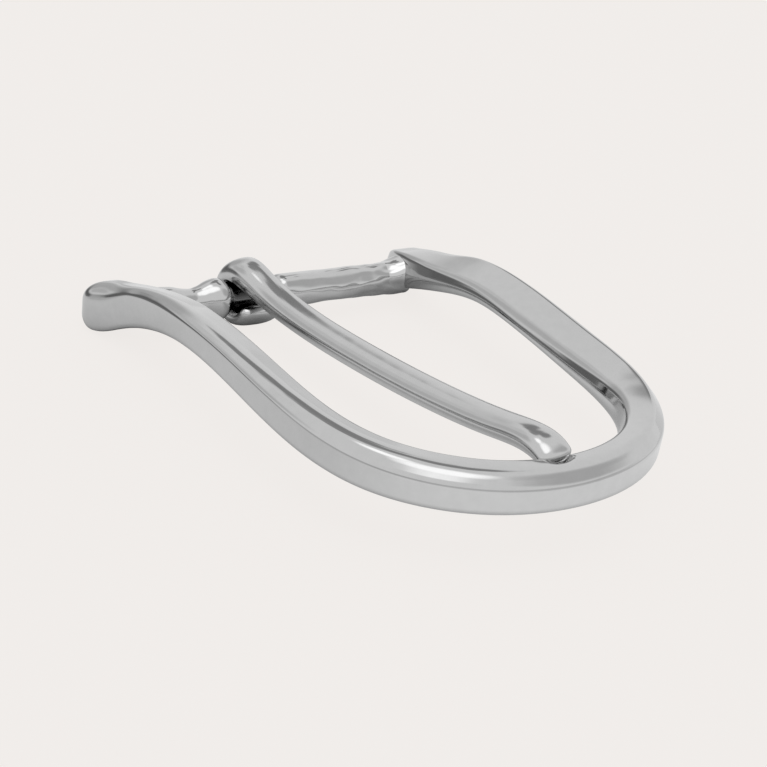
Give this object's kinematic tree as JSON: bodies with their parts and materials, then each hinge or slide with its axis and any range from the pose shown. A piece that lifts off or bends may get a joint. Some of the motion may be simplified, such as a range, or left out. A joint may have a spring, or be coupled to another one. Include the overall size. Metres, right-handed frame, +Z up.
{
  "type": "belt buckle",
  "caption": "Horseshoe belt buckle with arched tapering arms, a cross bar near the open heel and a bent prong whose tip drops into a notch in the toe.",
  "frame": {"origin": "middle of the hinge bar, on its axis", "axes": "+X from the bar to the toe, +Y across the strap, +Z up, away from the wearer"},
  "size_m": [0.062, 0.0486, 0.0103],
  "materials": {
    "polished_metal": "hand-polished, mirror-like silver-coloured metal",
    "solder_metal": "polished silver-coloured solder"
  },
  "bodies": {
    "frame": {"frame_loop": "polished_metal", "hinge_bar": "polished_metal", "solder_fillet_near": "solder_metal", "solder_fillet_far": "solder_metal"},
    "prong": {"prong": "polished_metal"}
  },
  "joints": [
    {"name": "prong_hinge", "type": "hinge", "parent": "frame", "child": "prong", "pos_m": [0, -0.0045, 0], "axis": [0, -1, 0], "range_deg": [0, 180]}
  ]
}
